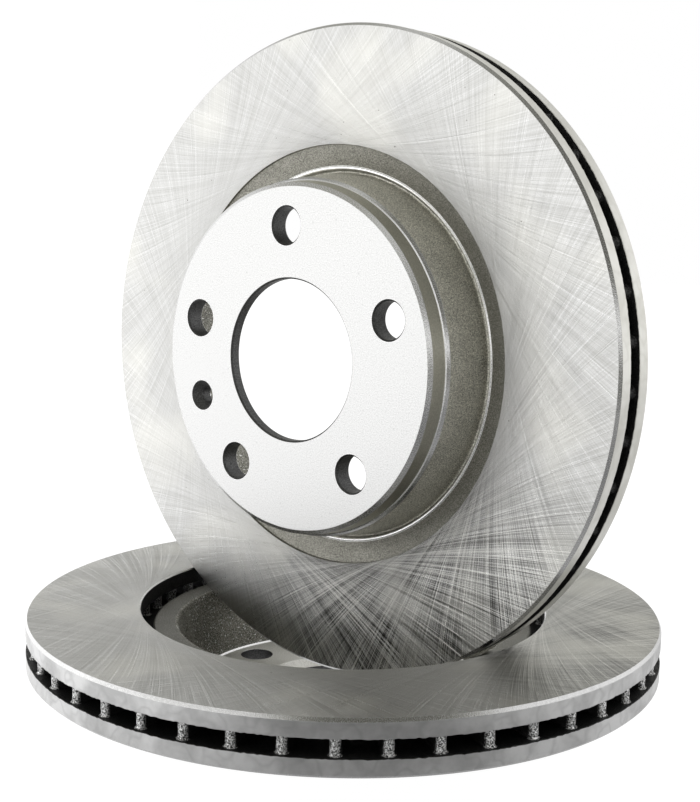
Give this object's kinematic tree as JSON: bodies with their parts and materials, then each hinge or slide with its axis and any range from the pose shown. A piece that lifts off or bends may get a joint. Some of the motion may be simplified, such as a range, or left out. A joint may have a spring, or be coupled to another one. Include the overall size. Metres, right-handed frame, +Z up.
{
  "type": "brake disc pair",
  "caption": "Axle pair of ventilated brake discs with top-hat hubs, one lying flat and one standing on its rim in the other's bowl.",
  "frame": {"origin": "on the floor, at the lying disc's axis", "axes": "+Z up along the lying disc's axis; the standing disc's axis is horizontal and its wheel face looks along -Y; +X is to the right when facing that wheel face from in front"},
  "size_m": [0.28, 0.28, 0.2988],
  "materials": {
    "lying_iron": "cross-ground friction faces, turned hat face and bare as-cast iron elsewhere",
    "standing_iron": "cross-ground friction faces, turned hat face and bare as-cast iron elsewhere"
  },
  "bodies": {
    "lying_disc": {"lying_disc": "lying_iron"},
    "standing_disc": {"standing_disc": "standing_iron"}
  },
  "joints": [
    {"name": "lift_off", "type": "slide", "parent": "lying_disc", "child": "standing_disc", "axis": [0, 0, 1], "range_m": [0, 0.16]}
  ]
}
